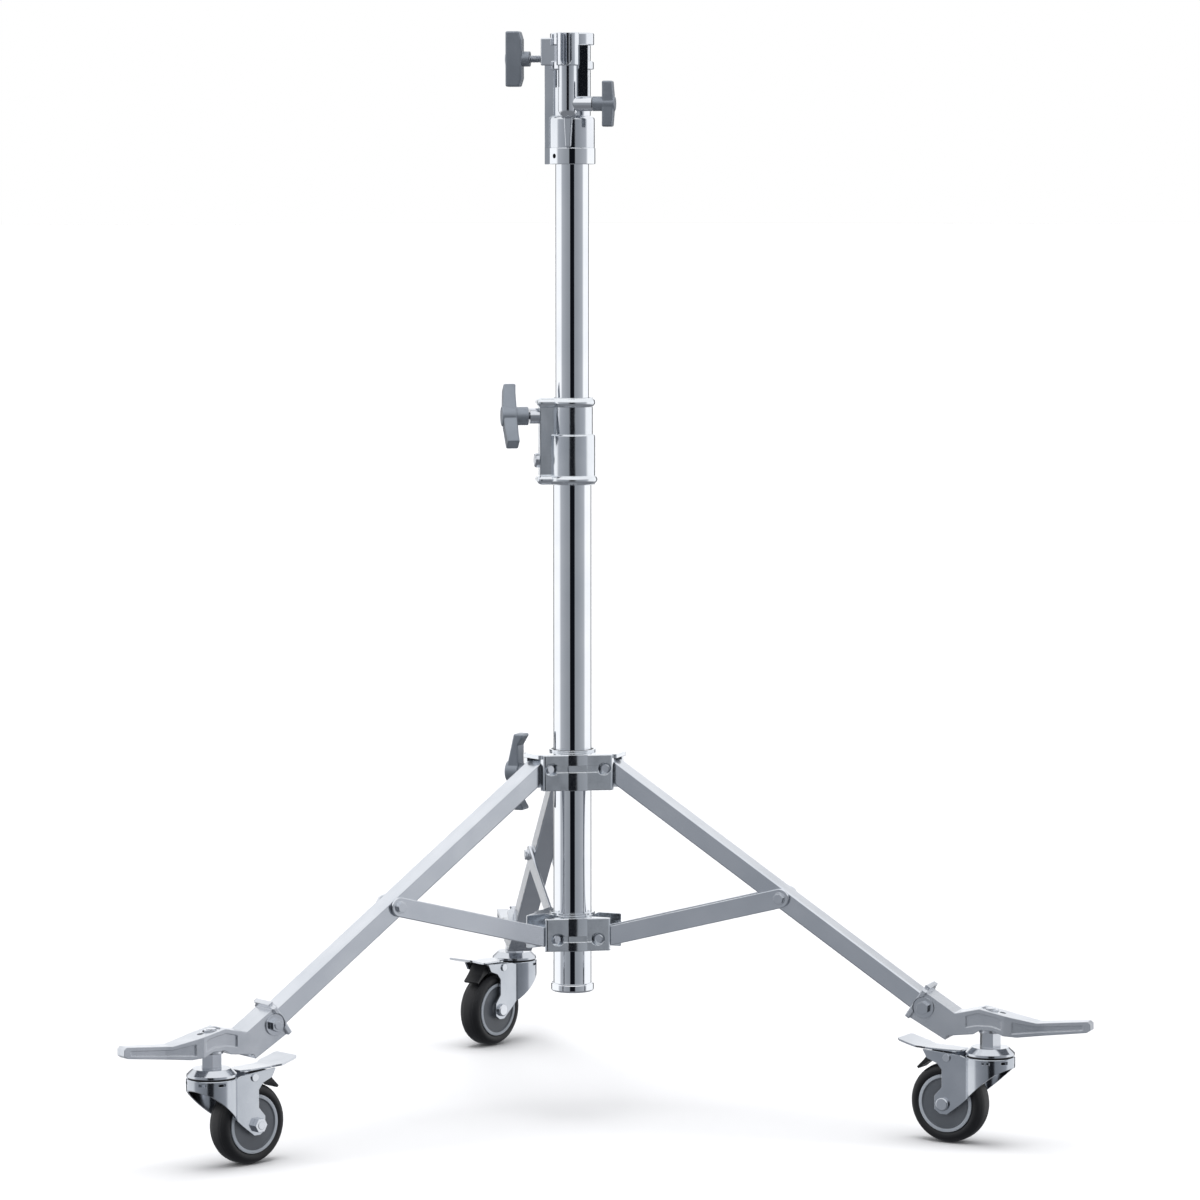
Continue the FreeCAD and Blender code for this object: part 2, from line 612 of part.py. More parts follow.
def castor_stem():
    """The fixed upper race, hexagon spacer and stem, with its nut in the toe's recess."""
    at = castor_r
    race = lathe([(0, race_low + 2), (race_r - 3, race_low + 2), (race_r - 3, race_low), (race_r, race_low),
                  (race_r, race_low + 2.5), (race_r - 6, race_top), (0, race_top)])
    stem = moved(race, at, 0, 0).fuse(hexagon(19.0, V(at, 0, race_top), V(at, 0, toe_under)))
    stem = stem.fuse(rod(stem_r, V(at, 0, toe_under), V(at, 0, toe_top - 0.5)))
    nut = hexagon(15.0, V(at, 0, toe_top - 7), V(at, 0, toe_top - 1.5))
    nut = nut.cut(rod(stem_r, V(at, 0, toe_under), V(at, 0, toe_top)))
    return [stem.removeSplitter(), nut]


# ---- braces -------------------------------------------------------------------------
def on_brace(shape):
    """Carry a shape built along +X from the lower pivot onto the rising brace."""
    return moved(turned(shape, -brace_tilt, Y), brace_hinge_r, 0, brace_hinge_z)


def brace_parts():
    half = bar_height / 2
    shapes = []
    for s in (-1, 1):
        y0 = min(s * bar_in, s * bar_out)
        y1 = max(s * bar_in, s * bar_out)
        bar = box(0, brace_length, y0, y1, -half, half)
        for at in (0, brace_length):
            bar = bar.fuse(rod(half, V(at, y0, 0), V(at, y1, 0)))
        bar = soften(bar.removeSplitter(), 0.8)
        for at, gap in ((0, running_gap), (brace_length, 0)):
            bar = bar.cut(rod(pivot_r + gap, V(at, -30, 0), V(at, 30, 0)))
        shapes.append(bar)
        head = rod(pivot_r, V(brace_length, s * bar_in, 0), V(brace_length, s * (bar_out + 0.5), 0))
        head = head.fuse(pipe(6.2, 0.1, V(brace_length, s * bar_out, 0), V(brace_length, s * (bar_out + 1), 0)))
        head = head.fuse(hexagon(9.5, V(brace_length, s * bar_out, 0), V(brace_length, s * (bar_out + 3.6), 0)))
        shapes.append(head.removeSplitter())
    shapes.append(pipe(6.5, pivot_r + running_gap, V(0, -bar_in, 0), V(0, bar_in, 0)))
    return [on_brace(shape) for shape in shapes]


# ---- castors ------------------------------------------------------------------------
# Built with the swivel axis at x = 0 and the axle at x = trail, then turned and placed.
lever_u = 40.5           # swivel axis to the brake lever's pivot
lever_z = crown_z - 3.0
lever_pin_r = 2.5


def fork():
    """A pressed shell: round about the swivel, flat beside the wheel, trimmed to one outline."""
    reach = lever_u + 30
    low = wheel_r - 12
    shell = rod(crown_r, V(0, 0, low), V(0, 0, crown_z + 4))
    shell = shell.fuse(box(0, reach, -fork_out, fork_out, low, crown_z + 4))
    inside = rod(crown_r - cheek, V(0, 0, low - 1), V(0, 0, crown_z + 5))
    inside = inside.fuse(box(0, reach + 1, -fork_in, fork_in, low - 1, crown_z + 5))
    outline = [(-crown_r - 1, crown_z - 1.2), (20, crown_z - 1.2), (26, crown_z + 0.5), (lever_u + 27.3, crown_z + 3.4),
               (lever_u + 22.2, crown_z - 5.4), (lever_u + 11, crown_z - 9.5), (lever_u + 5.5, crown_z - 16),
               (trail + 1.5, wheel_r + 17), (trail + 9.5, wheel_r + 8), (trail + 9.5, wheel_r - 6),
               (trail + 3, wheel_r - 10.5), (trail - 4.5, wheel_r - 10.5), (trail - 19.5, wheel_r + 1),
               (-4, crown_z - 24.5), (-15, crown_z - 15.5), (-crown_r - 1, crown_z - 10)]
    shell = shell.cut(inside).common(prism_xz(outline, crown_r + 1))
    crown = rod(crown_r, V(0, 0, crown_z - 3.5), V(0, 0, crown_z))
    crown = soften(crown, 1.2, lambda e: level(e) and e.CenterOfMass.z > crown_z - 0.1)
    body = fuse([shell, crown])
    for angle in (105.0, 150.0, 210.0, 255.0):
        notch = box(crown_r - 2.6, crown_r + 1, -4.0, 4.0, crown_z - 5.5, crown_z - 2.8)
        body = body.cut(turned(notch, angle))
    body = body.cut(rod(axle_r, V(trail, -40, wheel_r), V(trail, 40, wheel_r)))
    return body.cut(rod(lever_pin_r, V(lever_u, -40, lever_z), V(lever_u, 40, lever_z)))


def fork_axle():
    axle = rod(axle_r, V(trail, -fork_out - 6, wheel_r), V(trail, fork_out, wheel_r))
    axle = axle.fuse(hexagon(13.0, V(trail, -fork_out, wheel_r), V(trail, -fork_out - 5.5, wheel_r)))
    head = soften(rod(7.0, V(trail, fork_out, wheel_r), V(trail, fork_out + 3.5, wheel_r)), 1.5,
                  lambda e: e.CenterOfMass.y > fork_out + 3)
    pin = rod(lever_pin_r, V(lever_u, -fork_out, lever_z), V(lever_u, fork_out, lever_z))
    for s in (-1, 1):
        pin = pin.fuse(rod(4.0, V(lever_u, s * fork_out, lever_z), V(lever_u, s * (fork_out + 1.6), lever_z)))
    bearing = pipe(crown_r - 4.5, 9.0, V(0, 0, crown_z), V(0, 0, race_low + 1.6))
    return [axle.fuse(head).removeSplitter(), pin.removeSplitter(), bearing]


def brake_lever():
    """A pressed foot pedal, flared and swept up past the fork, on a lug between the cheeks."""
    start = lever_u - 11.5
    bend = lever_u + 23.5
    tip = lever_u + 56.5
    steps = 13
    upper = []
    lower = []
    for i in range(steps):
        u = start + (tip - start) * i / (steps - 1.0)
        sweep = max(0.0, (u - bend) / (tip - bend))
        rise = crown_z + 2.6 + 0.4 * i / steps + 7.4 * sweep ** 1.4
        upper.append((u, rise + 2.0))
        lower.append((u, rise))
    blade = prism_xz(upper + lower[::-1], 60)
    near = [(start, 9), (lever_u, 11.5), (bend + 3.5, 12.5), (bend + 7, 14), (bend + 12, 17.4), (tip - 2, 17),
            (tip, 15)]
    outline = [(u, -w) for u, w in near] + [(u, w) for u, w in near[::-1]]
    blade = blade.common(prism_xy(outline, 0, 300))
    lug = soften(prism_xz([(lever_u - 6, lever_z - 4.5), (lever_u + 6, lever_z - 4.5), (lever_u + 8, lever_z + 6.5),
                           (lever_u - 8, lever_z + 6.5)], 11.0), 1.0)
    lever = blade.fuse(lug)
    hole = rod(lever_pin_r + running_gap, V(lever_u, -40, lever_z), V(lever_u, 40, lever_z))
    return lever.cut(hole).removeSplitter()


def brake_shoe():
    """Moulded block under the pedal, hollowed to the tyre's curve with its working gap."""
    block = prism_xz([(lever_u + 10, crown_z - 7), (lever_u + 34, crown_z - 20), (lever_u + 37.5, crown_z - 16.5),
                      (lever_u + 30, crown_z - 9), (lever_u + 22, crown_z + 1.5), (lever_u + 10, crown_z + 1.5)], 10.0)
    block = block.cut(rod(wheel_r + 4.5, V(trail, -40, wheel_r), V(trail, 40, wheel_r)))
    block = block.fuse(box(lever_u + 9, lever_u + 21, -8, 8, crown_z, crown_z + 2.6))
    return block.cut(brake_lever()).removeSplitter()


def tyre():
    half = wheel_width / 2
    outline = [(hub_r, -half + 1.5), (hub_r + 3, -half), (wheel_r - 6, -half), (wheel_r - 2, -half + 2.5),
               (wheel_r - 0.4, -half + 6.5), (wheel_r, -half + 10), (wheel_r, half - 10),
               (wheel_r - 0.4, half - 6.5), (wheel_r - 2, half - 2.5), (wheel_r - 6, half), (hub_r + 3, half),
               (hub_r, half - 1.5)]
    return lathe(outline)


def wheel_hub():
    half = wheel_width / 2
    boss = half + fork_gap - 0.4
    outline = [(axle_r + running_gap, -boss), (8.5, -boss), (9.5, -half + 1.5), (hub_r - 5, -half + 1.5),
               (hub_r - 4, -half + 0.3), (hub_r - 1, -half + 0.3), (hub_r, -half + 1.5), (hub_r, half - 1.5),
               (hub_r - 1, half - 0.3), (hub_r - 4, half - 0.3), (hub_r - 5, half - 1.5), (9.5, half - 1.5),
               (8.5, boss), (axle_r + running_gap, boss)]
    return lathe(outline)


def on_axle(shape):
    return moved(turned(shape, 90, X), trail, 0, wheel_r)


def place_castor(shape, name):
    """Trail points inward at zero turn, so the castor is turned half round first."""
    shape = turned(shape, 180.0 + castor_turns[name])
    return turned(moved(shape, castor_r, 0, 0), legs[name])


# ---- write every part ---------------------------------------------------------------
os.makedirs("parts", exist_ok=True)

save("base_column", base_column())
save("column_foot_cap", column_foot_cap())
save("lower_collar", lower_collar())
save("lower_collar_screws", *lower_collar_screws())
save("brace_pivot_bolts", *pivot_bolts(brace_hinge_r, brace_hinge_z, lower_seat))
save("mid_collar", mid_collar())
save("mid_collar_bush", mid_collar_bush())
mid_screw = bolt(3.0, 7.5, 5.0, V(-boss_reach, 0, mid_screw_z), V(-column_r, 0, mid_screw_z))
save("mid_collar_screw", mid_screw)
mid_insert = lock_insert(riser_r + 4.5, boss_reach, 8.0, boss_reach + 9.8)
save("mid_lock_insert", moved(turned(mid_insert, 180), 0, 0, mid_lock_z))
save("mid_lock_shoe", rod(5.0, V(-riser_r - 0.1, 0, mid_lock_z), V(-riser_r - 4.2, 0, mid_lock_z)))
mid_grip = tee_grip(68.0, 15.0, 17.0, 3.0, 9.5, 12.0, 10.5)
knob("mid_lock", mid_grip, 12.0, boss_reach + 11.6, riser_r + 4.5, 30.0, 180.0, 0, mid_lock_z)

save("riser_guide_bush", pipe(column_bore - running_gap, riser_r + running_gap, V(0, 0, guide_low), V(0, 0, guide_high)))
save("riser_tube", pipe(riser_r, riser_r - riser_wall, V(0, 0, riser_foot), V(0, 0, riser_top)))
save("riser_foot_plug", riser_foot_plug(), riser_stop_ring())
save("riser_ferrule", turned(riser_ferrule(), head_turn))
save("riser_ferrule_screw", turned(ferrule_screw(), head_turn))
save("head_casting", turned(head_casting(), head_turn))
junior_grip = tee_grip(57.0, 17.0, 17.0, 0.0, 7.8, 7.6, 7.8)
knob("junior_lock", junior_grip, 7.6, 44.0, junior_bore + 0.3, 0.0, 180.0, 0, junior_lock_z, head_turn)
baby_grip = tee_grip(47.0, 12.5, 14.0, 2.0, 7.5, 10.0, 7.6)
knob("baby_lock", baby_grip, 10.0, 26.3, baby_bore + 0.3, 0.0, 0.0, baby_y, baby_lock_z, head_turn)

save("upper_collar", upper_collar())
save("upper_collar_bush", upper_collar_bush())
save("leg_pivot_bolts", *pivot_bolts(leg_hinge_r, leg_hinge_z, upper_seat))
collar_insert = lock_insert(column_r + 6.5, upper_lock_from, 8.0, upper_lock_from + 2.0)
save("collar_lock_insert", turned(moved(collar_insert, 0, 0, lock_z), lock_azimuth))
collar_shoe = rod(5.0, V(column_r + 0.1, 0, lock_z), V(column_r + 6.2, 0, lock_z))
save("collar_lock_shoe", turned(collar_shoe, lock_azimuth))
collar_grip = tee_grip(80.0, 14.0, 18.0, 9.0, 9.0, 9.0, 11.2)
knob("collar_lock", collar_grip, 9.0, upper_lock_from + 3.0, column_r + 6.5, 0.0, lock_azimuth, 0, lock_z)

for leg, azimuth in legs.items():
    save("leg_tube_" + leg, turned(leg_tube(), azimuth))
    save("toe_" + leg, turned(toe(), azimuth))
    hardware = leg_bushes() + leg_clamp_bolt() + castor_stem()
    save("leg_hardware_" + leg, *[turned(piece, azimuth) for piece in hardware])
    save("brace_" + leg, *[turned(piece, azimuth) for piece in brace_parts()])
    save("fork_" + leg, place_castor(fork(), leg))
    save("fork_axle_" + leg, *[place_castor(piece, leg) for piece in fork_axle()])
    save("brake_lever_" + leg, place_castor(brake_lever(), leg))
    save("brake_shoe_" + leg, place_castor(brake_shoe(), leg))
    save("tyre_" + leg, place_castor(on_axle(tyre()), leg))
    save("wheel_hub_" + leg, place_castor(on_axle(wheel_hub()), leg))
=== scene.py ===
import json
import math

import bmesh
import bpy
from mathutils import Matrix, Vector


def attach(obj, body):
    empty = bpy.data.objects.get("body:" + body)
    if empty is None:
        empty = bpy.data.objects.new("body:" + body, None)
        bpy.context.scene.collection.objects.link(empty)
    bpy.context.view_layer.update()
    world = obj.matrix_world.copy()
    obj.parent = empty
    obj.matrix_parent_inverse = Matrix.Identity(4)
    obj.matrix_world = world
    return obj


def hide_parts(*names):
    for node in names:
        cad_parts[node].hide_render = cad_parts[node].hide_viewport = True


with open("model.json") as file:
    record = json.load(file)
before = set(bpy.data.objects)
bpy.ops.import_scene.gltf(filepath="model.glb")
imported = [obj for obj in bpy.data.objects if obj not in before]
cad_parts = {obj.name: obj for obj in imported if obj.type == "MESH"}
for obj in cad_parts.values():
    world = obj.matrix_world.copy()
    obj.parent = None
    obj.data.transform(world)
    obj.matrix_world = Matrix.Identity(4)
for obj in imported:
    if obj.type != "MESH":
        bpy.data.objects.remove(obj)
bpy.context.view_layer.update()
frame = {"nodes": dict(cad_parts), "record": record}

# Wheeled lighting stand: plated tubes and pressings, satin castings, rubber-tyred castors.
# Metres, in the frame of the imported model: mast axis at the origin, +Z up, back leg along +Y.

nodes = frame["nodes"]
MM = 0.001


# ---- camera -------------------------------------------------------------------------
camera_azimuth = math.radians(-8.376)
camera_distance = 5.0
camera_height = 0.9705
camera_pitch = math.radians(4.896)
camera_yaw = math.radians(-0.33)
towards_camera = Vector((math.sin(camera_azimuth), -math.cos(camera_azimuth), 0.0))

lens = bpy.data.cameras.new("stand_camera")
lens.sensor_width = 36.0
lens.lens = 144.56
lens.clip_start = 0.1
lens.clip_end = 300.0
camera = bpy.data.objects.new("stand_camera", lens)
bpy.context.scene.collection.objects.link(camera)
camera.location = towards_camera * camera_distance + Vector((0, 0, camera_height))
aim = camera_azimuth + camera_yaw
sight = Vector((-math.sin(aim) * math.cos(camera_pitch), math.cos(aim) * math.cos(camera_pitch),
                -math.sin(camera_pitch)))
camera.rotation_mode = "QUATERNION"
camera.rotation_quaternion = sight.to_track_quat("-Z", "Y")
bpy.context.scene.camera = camera
bpy.context.scene.view_settings.view_transform = "Standard"


# ---- small helpers ------------------------------------------------------------------
def linear(code):
    """A hex sRGB colour as the linear RGBA that a shader takes."""
    parts = [int(code[i:i + 2], 16) / 255.0 for i in (0, 2, 4)]
    parts = [c / 12.92 if c <= 0.04045 else ((c + 0.055) / 1.055) ** 2.4 for c in parts]
    return (*parts, 1.0)


def add(tree, kind, inputs=(), **settings):
    """Add one node; inputs maps each socket to a value, or to another node's output."""
    node = tree.nodes.new(kind)
    for name, value in settings.items():
        setattr(node, name, value)
    for socket, value in dict(inputs).items():
        if isinstance(value, bpy.types.NodeSocket):
            tree.links.new(value, node.inputs[socket])
        else:
            node.inputs[socket].default_value = value
    return node


def ramp(tree, factor, stops):
    """A colour ramp through (position, colour) stops."""
    node = add(tree, "ShaderNodeValToRGB", {"Fac": factor})
    band = node.color_ramp
    while len(band.elements) < len(stops):
        band.elements.new(0.5)
    for element, (position, colour) in zip(band.elements, stops):
        element.position = position
        element.color = colour
    return node.outputs["Color"]


def pitch(mm):
    """The noise scale whose features are this many millimetres across."""
    return 1.0 / (mm * MM)


# ---- studio -------------------------------------------------------------------------
def studio_world():
    """A white tent: a dark slot at the camera, grey cards beside it, a black strip behind the stand."""
    world = bpy.data.worlds.new("studio_tent")
    world.use_nodes = True
    tree = world.node_tree
    tree.nodes.clear()
    towards = add(tree, "ShaderNodeTexCoord").outputs["Generated"]
    flat = add(tree, "ShaderNodeVectorMath", {0: towards, 1: (1.0, 1.0, 0.0)}, operation="MULTIPLY")
    unit = add(tree, "ShaderNodeVectorMath", {0: flat.outputs[0]}, operation="NORMALIZE")
    facing = add(tree, "ShaderNodeVectorMath", {0: unit.outputs[0], 1: tuple(towards_camera)},
                 operation="DOT_PRODUCT")
    share = add(tree, "ShaderNodeMapRange", {"Value": facing.outputs["Value"],
                                             "From Min": -1.0, "From Max": 1.0})
    slot_black = (0.006, 0.007, 0.010, 1.0)
    card_grey = (0.33, 0.35, 0.38, 1.0)
    wall_grey = (0.50, 0.52, 0.56, 1.0)
    tent_white = (1.18, 1.19, 1.21, 1.0)
    back_black = (0.02, 0.022, 0.026, 1.0)
    ceiling_white = (1.12, 1.13, 1.15, 1.0)
    ground_grey = (0.22, 0.23, 0.25, 1.0)
    ceiling_from, ceiling_full = 0.16, 0.42
    ground_from, ground_full = -0.22, -0.5
    # Degrees from the direction of the camera, round both sides alike.
    angles = [(180, tent_white), (163, tent_white), (160, back_black), (145, back_black),
              (142, tent_white), (84, tent_white), (73, wall_grey),
              (24, card_grey), (15.5, card_grey), (13.5, slot_black), (0, slot_black)]
    stops = [((math.cos(math.radians(a)) + 1.0) / 2.0, colour) for a, colour in angles]
    walls = ramp(tree, share.outputs["Result"], stops)
    split = add(tree, "ShaderNodeSeparateXYZ", {0: towards})
    up = add(tree, "ShaderNodeMapRange", {"Value": split.outputs["Z"],
                                          "From Min": ceiling_from, "From Max": ceiling_full})
    down = add(tree, "ShaderNodeMapRange", {"Value": split.outputs["Z"],
                                            "From Min": ground_from, "From Max": ground_full})
    over = add(tree, "ShaderNodeMixRGB", {"Fac": up.outputs["Result"], "Color1": walls,
                                          "Color2": ceiling_white})
    under = add(tree, "ShaderNodeMixRGB", {"Fac": down.outputs["Result"], "Color1": over.outputs[0],
                                           "Color2": ground_grey})
    tent = add(tree, "ShaderNodeBackground", {"Color": under.outputs[0], "Strength": 1.0})
    paper = add(tree, "ShaderNodeBackground", {"Color": (1.0, 1.0, 1.0, 1.0), "Strength": 1.0})
    seen = add(tree, "ShaderNodeLightPath").outputs["Is Camera Ray"]
    mixed = add(tree, "ShaderNodeMixShader", {0: seen, 1: tent.outputs[0], 2: paper.outputs[0]})
    add(tree, "ShaderNodeOutputWorld", {"Surface": mixed.outputs[0]})
    bpy.context.scene.world = world


def soft_light(name, place, size, power, target=(0.0, 0.0, 0.4)):
    """A rectangular soft box turned to the stand, not seen in its polished tubes."""
    lamp = bpy.data.lights.new(name, "AREA")
    lamp.shape = "RECTANGLE"
    lamp.size, lamp.size_y = size
    lamp.energy = power
    light = bpy.data.objects.new(name, lamp)
    bpy.context.scene.collection.objects.link(light)
    light.location = place
    light.rotation_mode = "QUATERNION"
    light.rotation_quaternion = (Vector(target) - Vector(place)).to_track_quat("-Z", "Y")
    light.visible_glossy = False


def overhead_sky(strength, spread):
    """A wide soft source straight above, which grounds the wheels with short soft shadows."""
    lamp = bpy.data.lights.new("overhead_sky", "SUN")
    lamp.energy = strength
    lamp.angle = math.radians(spread)
    light = bpy.data.objects.new("overhead_sky", lamp)
    bpy.context.scene.collection.objects.link(light)
    light.rotation_mode = "QUATERNION"
    light.rotation_quaternion = Vector((0.02, 0.10, -1.0)).to_track_quat("-Z", "Y")
    light.visible_glossy = False


def paper_floor():
    """Matt white background paper under the stand."""
    width = 240.0
    below_wheels = 0.2 * MM
    bpy.ops.mesh.primitive_plane_add(size=width, location=(0.0, 0.0, -below_wheels))
    floor = bpy.context.object
    floor.name = "paper_floor"
    floor.data.transform(floor.matrix_world)
    floor.matrix_world = Matrix.Identity(4)
    floor.visible_glossy = False
    paper = bpy.data.materials.new("background_paper_matt")
    paper.use_nodes = True
    shader = paper.node_tree.nodes["Principled BSDF"]
    shader.inputs["Base Color"].default_value = linear("B8B8B9")
    shader.inputs["Roughness"].default_value = 0.9
    shader.inputs["Specular IOR Level"].default_value = 0.1
    floor.data.materials.append(paper)


bpy.ops.object.select_all(action="DESELECT")
studio_world()
paper_floor()
overhead_sky(strength=3.9, spread=46.0)
softbox = (1.4, 2.0)
soft_light("left_softbox", place=(-2.6, -1.8, 1.6), size=softbox, power=9.0)
soft_light("right_softbox", place=(2.8, -1.2, 1.4), size=softbox, power=6.0)


# ---- finishes -----------------------------------------------------------------------
cloud_mm = 45.0          # size of the slow changes of colour


def finish(name, colour, worn, roughness, metallic, grain, wave=None, edge=0.0, spread=0.12):
    """One surface. Grain and wave are each (mm across, mm deep), and edge is the rounding in mm."""
    material = bpy.data.materials.new(name)
    material.use_nodes = True
    tree = material.node_tree
    shader = tree.nodes["Principled BSDF"]
    shader.inputs["Metallic"].default_value = metallic
    place = add(tree, "ShaderNodeTexCoord").outputs["Object"]
    broad = add(tree, "ShaderNodeTexNoise", {"Vector": place, "Scale": pitch(cloud_mm), "Detail": 4.0})
    tint = ramp(tree, broad.outputs["Fac"], [(0.34, linear(colour)), (0.70, linear(worn))])
    tree.links.new(tint, shader.inputs["Base Color"])
    grain_mm, grain_depth = grain
    fine = add(tree, "ShaderNodeTexNoise", {"Vector": place, "Scale": pitch(grain_mm), "Detail": 3.0})
    rough = add(tree, "ShaderNodeMapRange", {"Value": fine.outputs["Fac"], "From Min": 0.3, "From Max": 0.7,
                                             "To Min": roughness * (1.0 - spread),
                                             "To Max": roughness * (1.0 + spread)})
    tree.links.new(rough.outputs["Result"], shader.inputs["Roughness"])
    reliefs = [(fine, grain_depth)] if grain_depth else []
    if wave:
        wave_mm, wave_depth = wave
        slow = add(tree, "ShaderNodeTexNoise", {"Vector": place, "Scale": pitch(wave_mm), "Detail": 1.0})
        reliefs.append((slow, wave_depth))
    surface = None
    if edge:
        surface = add(tree, "ShaderNodeBevel", {"Radius": edge * MM}, samples=6).outputs["Normal"]
    for noise, depth in reliefs:
        relief = {"Height": noise.outputs["Fac"], "Strength": 1.0, "Distance": depth * MM}
        if surface:
            relief["Normal"] = surface
        surface = add(tree, "ShaderNodeBump", relief).outputs["Normal"]
    if surface:
        tree.links.new(surface, shader.inputs["Normal"])
    return material


# Chrome plate on drawn and polished steel tube: a clear mirror with only a slow ripple.
polished_chrome = finish("chrome_plate_polished", "E9EBEE", "E1E4E8", roughness=0.045, metallic=1.0,
                         grain=(2.0, 0.0004), wave=(60.0, 0.012), spread=0.35)
# Chrome plate on a cast part: the mirror is softened by the skin below it, corners are rounded.
cast_chrome = finish("chrome_plate_on_casting", "E4E6EA", "D6DADF", roughness=0.10, metallic=1.0,
                     grain=(3.5, 0.004), wave=(22.0, 0.03), edge=0.7)
# Satin plate on welded square tube: broad soft reflections with no clear image.
leg_steel = finish("satin_plated_steel_tube", "DADDE2", "CFD3D9", roughness=0.22, metallic=1.0,
                   grain=(0.9, 0.0022), wave=(40.0, 0.02), edge=0.5)
# Tumbled and plated pressure casting: bright and smooth, with slow hollows and soft corners.
cast_alloy = finish("tumbled_plated_casting", "CDD0D5", "BFC3C9", roughness=0.24, metallic=0.9,
                    grain=(4.0, 0.0), wave=(14.0, 0.10), edge=1.1)
# The same casting under a brighter plate, polished a little on its faces.
collar_plate = finish("plated_collar_casting", "E6E9EC", "D8DCE1", roughness=0.15, metallic=1.0,
                      grain=(2.2, 0.003), wave=(24.0, 0.30), edge=0.8)
# Bare zinc die casting of the lock handles: dull grey, faintly grained.
knob_zinc = finish("zinc_die_casting_satin", "868C94", "787E86", roughness=0.40, metallic=0.75,
                   grain=(1.0, 0.003), wave=(9.0, 0.03), edge=0.9)
# Zinc-plated pressed steel: bright and slightly hazed.
zinc_plate = finish("zinc_plated_pressing", "D2D5DA", "C2C6CC", roughness=0.16, metallic=1.0,
                    grain=(1.6, 0.004), wave=(18.0, 0.03), edge=0.5)
# The same plate on the castor's deep-drawn fork, in a darker grey that is painted shade: a shaded copy of
# the zinc plate.
shaded_zinc_plate = finish("zinc_plated_fork_painted_shade", "BEC2C8", "AEB3BA", roughness=0.17, metallic=1.0,
                    grain=(1.6, 0.003), wave=(20.0, 0.10), edge=0.6)
# Blackened screw steel: dark, with a low satin shine.
black_screw = finish("blackened_screw_steel", "1A1B1E", "222327", roughness=0.38, metallic=0.6,
                     grain=(0.7, 0.01), edge=0.3)
# Turned brass: warm yellow, with the faint breaks of the tool's marks.
brass = finish("turned_brass", "B8934A", "A98442", roughness=0.25, metallic=1.0, grain=(0.6, 0.003))
# Moulded nylon of the guide bushes: near black, waxy.
bush_nylon = finish("moulded_nylon_black", "17181A", "1E1F22", roughness=0.45, metallic=0.0,
                    grain=(0.8, 0.008))
# Black rubber tyre: deep black, fine-grained, with a weak broad shine.
tyre_rubber = finish("moulded_tyre_rubber", "05060A", "090A0F", roughness=0.52, metallic=0.0,
                     grain=(1.2, 0.006), wave=(7.0, 0.03))
# Polypropylene wheel centre: dark grey, satin.
wheel_plastic = finish("moulded_polypropylene_grey", "45494F", "4D5157", roughness=0.42, metallic=0.0,
                       grain=(1.0, 0.010), edge=0.4)
# Light polypropylene band that the tyre is moulded on to.
rim_plastic = finish("moulded_polypropylene_light", "8D9299", "848A91", roughness=0.36, metallic=0.0,
                     grain=(1.0, 0.008))
# Zinc plate on a rolled thread: the flanks stay bright, a little grease dulls them.
rolled_thread = finish("zinc_plated_rolled_thread", "C9CCD1", "A9ADB4", roughness=0.26, metallic=1.0,
                       grain=(0.8, 0.006))
# Moulded brake block: black, faintly grained. The same black is also the painted shadow ring in the castor
# race gap.
brake_block_and_gap_black = finish("moulded_brake_block_and_gap_shadow", "060709", "0A0B0E", roughness=0.46, metallic=0.0,
                     grain=(1.0, 0.012), edge=0.6)

finishes = {
    "chrome": polished_chrome, "leg_steel": leg_steel, "cast_metal": cast_alloy, "cast_knob": knob_zinc,
    "zinc_steel": zinc_plate, "black_steel": black_screw, "brass": brass, "bush_plastic": bush_nylon,
    "rubber": tyre_rubber, "wheel_plastic": wheel_plastic, "black_plastic": brake_block_and_gap_black,
}


def coat(piece, material):
    """Give every slot of a piece one finish."""
    if not piece.material_slots:
        piece.data.materials.append(material)
    for slot in piece.material_slots:
        slot.material = material


for row in frame["record"]["subparts"]:
    coat(nodes[row["node"]], finishes[row["material_slot"]])
coat(nodes["head_casting"], cast_chrome)
for name in ("mid_collar", "upper_collar", "lower_collar"):
    coat(nodes[name], collar_plate)
legs = ("back", "left", "right")
for name in legs:
    # The forks take the darker copy of the zinc plate, whose extra grey is painted shade.
    coat(nodes["fork_" + name], shaded_zinc_plate)


# ---- added pieces -------------------------------------------------------------------
joints = {joint["child"]: joint for joint in frame["record"]["behaviour"]["joints"]}
round_steps = 72


def begin(name):
    """Name the primitive just added, bake its place into its mesh and enter edit mode."""
    piece = bpy.context.object
    piece.name = name
    piece.data.transform(piece.matrix_world)
    piece.matrix_world = Matrix.Identity(4)
    bpy.ops.object.mode_set(mode="EDIT")
    return piece


def choose(piece, kind, test):
    """In edit mode, select the verts, edges or faces that pass a test of their corners."""
    bpy.ops.mesh.select_all(action="DESELECT")
    bpy.ops.mesh.select_mode(type={"verts": "VERT", "edges": "EDGE", "faces": "FACE"}[kind])
    mesh = bmesh.from_edit_mesh(piece.data)
    for element in getattr(mesh, kind):
        corners = [element.co] if kind == "verts" else [v.co for v in element.verts]
        element.select_set(bool(test(corners)))
    mesh.select_flush_mode()
    bmesh.update_edit_mesh(piece.data)


def along(axis, origin):
    """A placement that takes +Z to the axis and the origin to the point."""
    turn = Vector(axis).to_track_quat("Z", "Y").to_matrix().to_4x4()
    return Matrix.Translation(Vector(origin)) @ turn


def settle(piece, place, material, body):
    """Put a piece drawn about the origin in its place, coat it and let it ride its body."""
    bpy.ops.object.mode_set(mode="OBJECT")
    piece.data.transform(place)
    coat(piece, material)
    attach(piece, body)
    bpy.ops.object.select_all(action="DESELECT")


